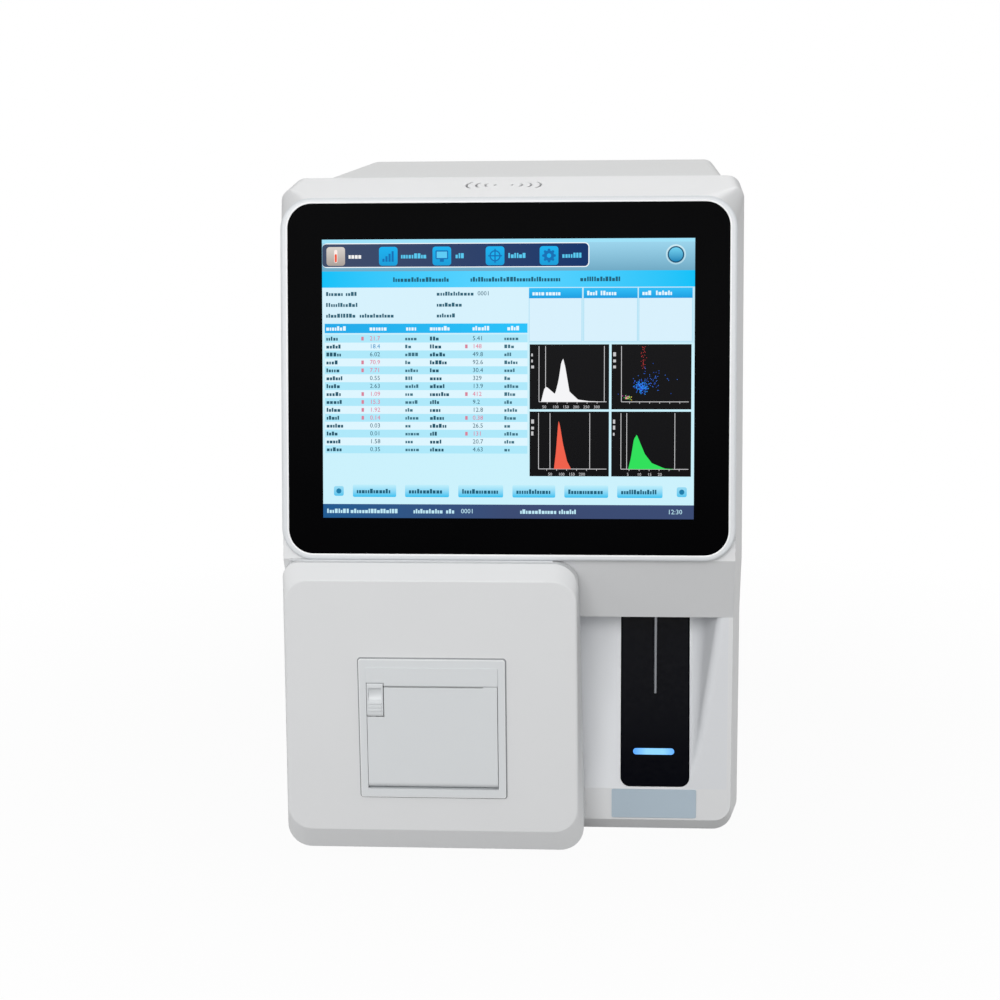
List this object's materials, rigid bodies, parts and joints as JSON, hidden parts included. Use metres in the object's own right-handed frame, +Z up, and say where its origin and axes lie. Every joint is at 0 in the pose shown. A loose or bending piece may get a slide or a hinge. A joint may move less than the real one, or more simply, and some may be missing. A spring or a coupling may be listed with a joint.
{
  "type": "veterinary hematology analyzer",
  "caption": "Bench-top blood cell analyzer with a leaning touch display over a bevelled printer box and a lit sampling bay with a vertical steel probe.",
  "frame": {"origin": "on the bench, in the middle of the outline seen from above, at the soles of the feet", "axes": "+Z up, +Y towards the back panel, -Y towards the user, +X to the user's right"},
  "size_m": [0.269, 0.4429, 0.3882],
  "materials": {
    "black_abs": "fine matt black moulding",
    "black_glass": "polished, black border round a clear window",
    "black_plate": "polished black",
    "blue_anodised": "clear anodised",
    "blue_light": "diffusing, lit blue",
    "brass_plated": "turned",
    "clear_acrylic": "clear, machined",
    "cover_paint": "fine textured powder coat, off white",
    "cream_plastic": "fine matt moulding",
    "dark_rubber": "matt",
    "frame_grey": "satin light grey",
    "green_board": "solder-masked board",
    "head_ceramic": "heat sink bar with a ceramic strip",
    "label_blue": "pale blue satin foil, bare",
    "latch_plastic": "satin moulding",
    "lcd_panel": "lit flat panel in a steel frame",
    "liner_white": "fine satin grain",
    "magnet_black": "matt black block",
    "motor_steel": "dark laminated steel with plain end caps",
    "polished_steel": "ground and polished",
    "shell_white": "fine satin grain, off white",
    "speaker_black": "paper cone in a black basket",
    "thermal_paper": "smooth coated paper",
    "white_acetal": "machined white plastic",
    "white_nylon": "plain gear nylon",
    "zinc_steel": "zinc-plated sheet"
  },
  "bodies": {
    "case": {"front_shell": "shell_white", "display_frame": "frame_grey", "touch_glass": "black_glass", "lcd_module": "lcd_panel", "display_bracket": "zinc_steel", "speaker": "speaker_black", "printer_cover": "shell_white", "printer_housing": "cream_plastic", "print_head": "head_ceramic", "printer_door_pin": "polished_steel", "printer_motor": "motor_steel", "bay_panel": "liner_white", "start_switch": "green_board", "label_plate": "label_blue", "wash_block": "clear_acrylic", "inner_frame": "zinc_steel", "sampling_bracket": "blue_anodised", "guide_rods": "polished_steel", "stepper_motors": "motor_steel", "syringe_bracket": "blue_anodised", "syringe_barrels": "clear_acrylic", "counting_baths": "clear_acrylic", "valve_manifold": "white_acetal", "base_plate": "zinc_steel", "feet": "dark_rubber", "rear_cover": "cover_paint", "door_hinges": "polished_steel", "rear_panel": "cover_paint", "cooling_fan": "black_abs", "fan_guard": "polished_steel", "mains_inlet": "black_abs", "data_ports": "zinc_steel", "reagent_ports": "white_acetal", "case_screws": "polished_steel", "door_catch": "magnet_black", "inner_shelves": "zinc_steel", "bench_mounts": "dark_rubber", "optical_bench": "blue_anodised", "laser_module": "brass_plated", "flow_cell": "blue_anodised", "main_board": "green_board", "power_supply": "zinc_steel", "pumps": "motor_steel", "vacuum_chamber": "clear_acrylic"},
    "printer_door": {"printer_door": "cream_plastic"},
    "printer_latch": {"printer_latch": "latch_plastic"},
    "platen": {"platen_roller": "dark_rubber", "platen_gear": "white_nylon"},
    "drive_gear": {"drive_gear": "white_nylon"},
    "paper_roll": {"paper_roll": "thermal_paper"},
    "start_plate": {"start_plate": "black_plate", "light_pipe": "blue_light"},
    "probe": {"probe_carriage": "white_acetal", "sample_probe": "polished_steel"},
    "probe_screw": {"probe_screw": "polished_steel"},
    "syringe_plungers": {"syringe_plungers": "white_acetal"},
    "syringe_screw": {"syringe_screw": "polished_steel"},
    "fan_rotor": {"fan_rotor": "black_abs"},
    "power_switch": {"power_switch": "black_abs"},
    "side_door": {"side_door": "cover_paint"}
  },
  "joints": [
    {"name": "printer_door_hinge", "type": "hinge", "parent": "case", "child": "printer_door", "pos_m": [-0.0434, -0.2187, 0.0478], "axis": [1, 0, 0], "range_deg": [0, 95]},
    {"name": "printer_latch_pivot", "type": "hinge", "parent": "printer_door", "child": "printer_latch", "pos_m": [-0.0762, -0.2167, 0.0907], "axis": [1, 0, 0], "range_deg": [0, 25], "stiffness_Nm_per_rad": 0.02, "springref_deg": -17.19},
    {"name": "platen_spin", "type": "hinge", "parent": "printer_door", "child": "platen", "pos_m": [-0.0434, -0.2129, 0.0992], "axis": [1, 0, 0], "continuous": true},
    {"name": "drive_gear_spin", "type": "hinge", "parent": "case", "child": "drive_gear", "pos_m": [-0.0078, -0.20465, 0.0992], "axis": [1, 0, 0], "continuous": true},
    {"name": "paper_roll_spin", "type": "hinge", "parent": "case", "child": "paper_roll", "pos_m": [-0.0434, -0.1905, 0.0661], "axis": [1, 0, 0], "continuous": true},
    {"name": "start_press", "type": "slide", "parent": "case", "child": "start_plate", "axis": [0, 0.9665, -0.2565], "range_m": [0, 0.002], "stiffness_N_per_m": 400, "springref_m": -0.003},
    {"name": "probe_slide", "type": "slide", "parent": "case", "child": "probe", "axis": [0, 0, 1], "range_m": [0, 0.054]},
    {"name": "probe_screw_spin", "type": "hinge", "parent": "case", "child": "probe_screw", "pos_m": [0.0848, -0.141, 0.215], "axis": [0, 0, 1], "range_deg": [0, 1945]},
    {"name": "syringe_slide", "type": "slide", "parent": "case", "child": "syringe_plungers", "axis": [0, 0, 1], "range_m": [0, 0.038]},
    {"name": "syringe_screw_spin", "type": "hinge", "parent": "case", "child": "syringe_screw", "pos_m": [0.084, 0.01, 0.107], "axis": [0, 0, 1], "range_deg": [0, 1369]},
    {"name": "fan_spin", "type": "hinge", "parent": "case", "child": "fan_rotor", "pos_m": [-0.068, 0.192, 0.31], "axis": [0, 1, 0], "continuous": true},
    {"name": "power_switch_rock", "type": "hinge", "parent": "case", "child": "power_switch", "pos_m": [-0.092, 0.206, 0.075], "axis": [-1, 0, 0], "range_deg": [0, 16]},
    {"name": "side_door_hinge", "type": "hinge", "parent": "case", "child": "side_door", "pos_m": [0.1322, 0.1354, 0.21], "axis": [0, 0, 1], "range_deg": [0, 110]}
  ],
  "couplings": [
    {"joint": "drive_gear_spin", "follows": "platen_spin", "ratio": -2},
    {"joint": "probe_screw_spin", "follows": "probe_slide", "rad_per_m": 628.32},
    {"joint": "syringe_screw_spin", "follows": "syringe_slide", "rad_per_m": 628.32}
  ]
}
